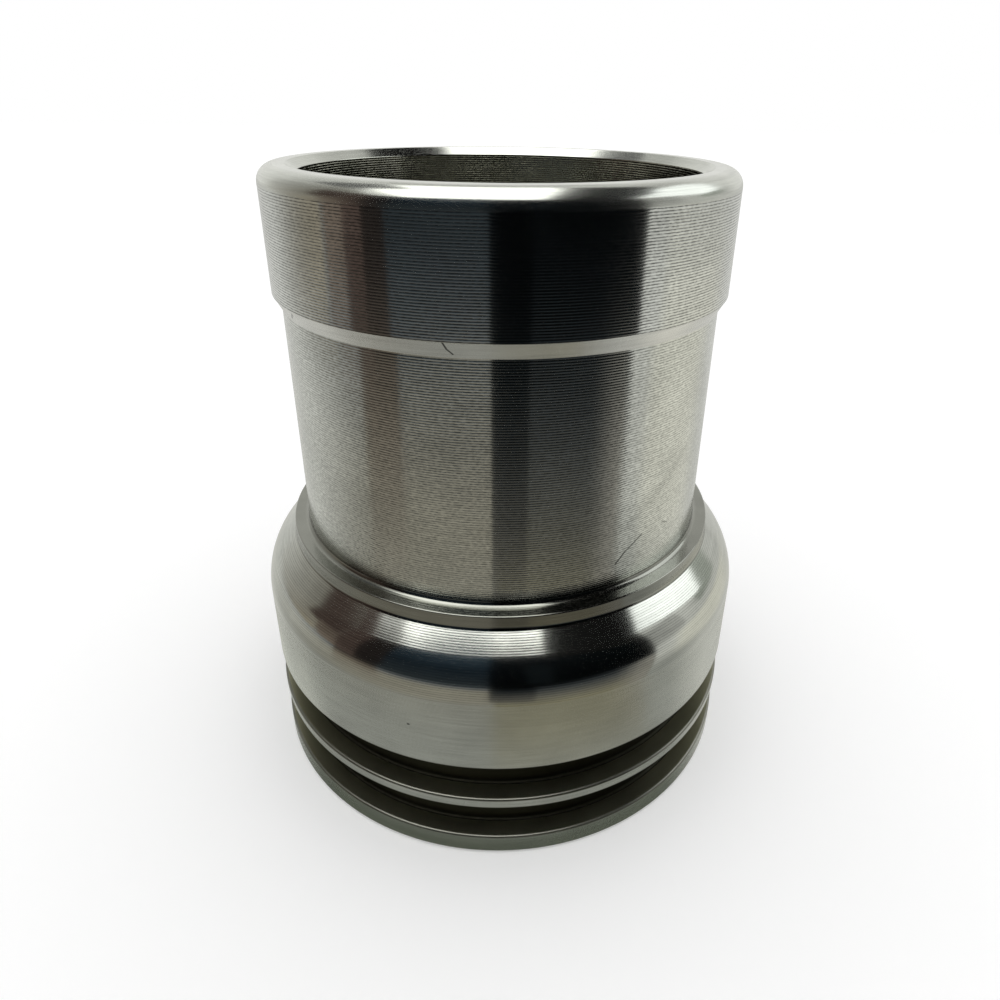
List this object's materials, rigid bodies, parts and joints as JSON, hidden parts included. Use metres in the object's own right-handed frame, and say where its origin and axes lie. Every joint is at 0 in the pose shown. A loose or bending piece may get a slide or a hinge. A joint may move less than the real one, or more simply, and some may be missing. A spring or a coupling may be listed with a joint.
{
  "type": "injector sleeve",
  "caption": "Stepped cylindrical sleeve that seats an injector in a cylinder head: straight bore, rounded collar, slim neck, convex shoulder and seal grooves at the foot.",
  "frame": {"origin": "centre of the foot face, on the turning axis", "axes": "+Z along the turning axis, from the foot with the seal grooves to the mouth in the collar"},
  "size_m": [0.0474, 0.0474, 0.0558],
  "materials": {
    "turned_steel": "fine turned, with polished rim"
  },
  "bodies": {
    "root": {"injector_sleeve": "turned_steel"}
  },
  "joints": []
}
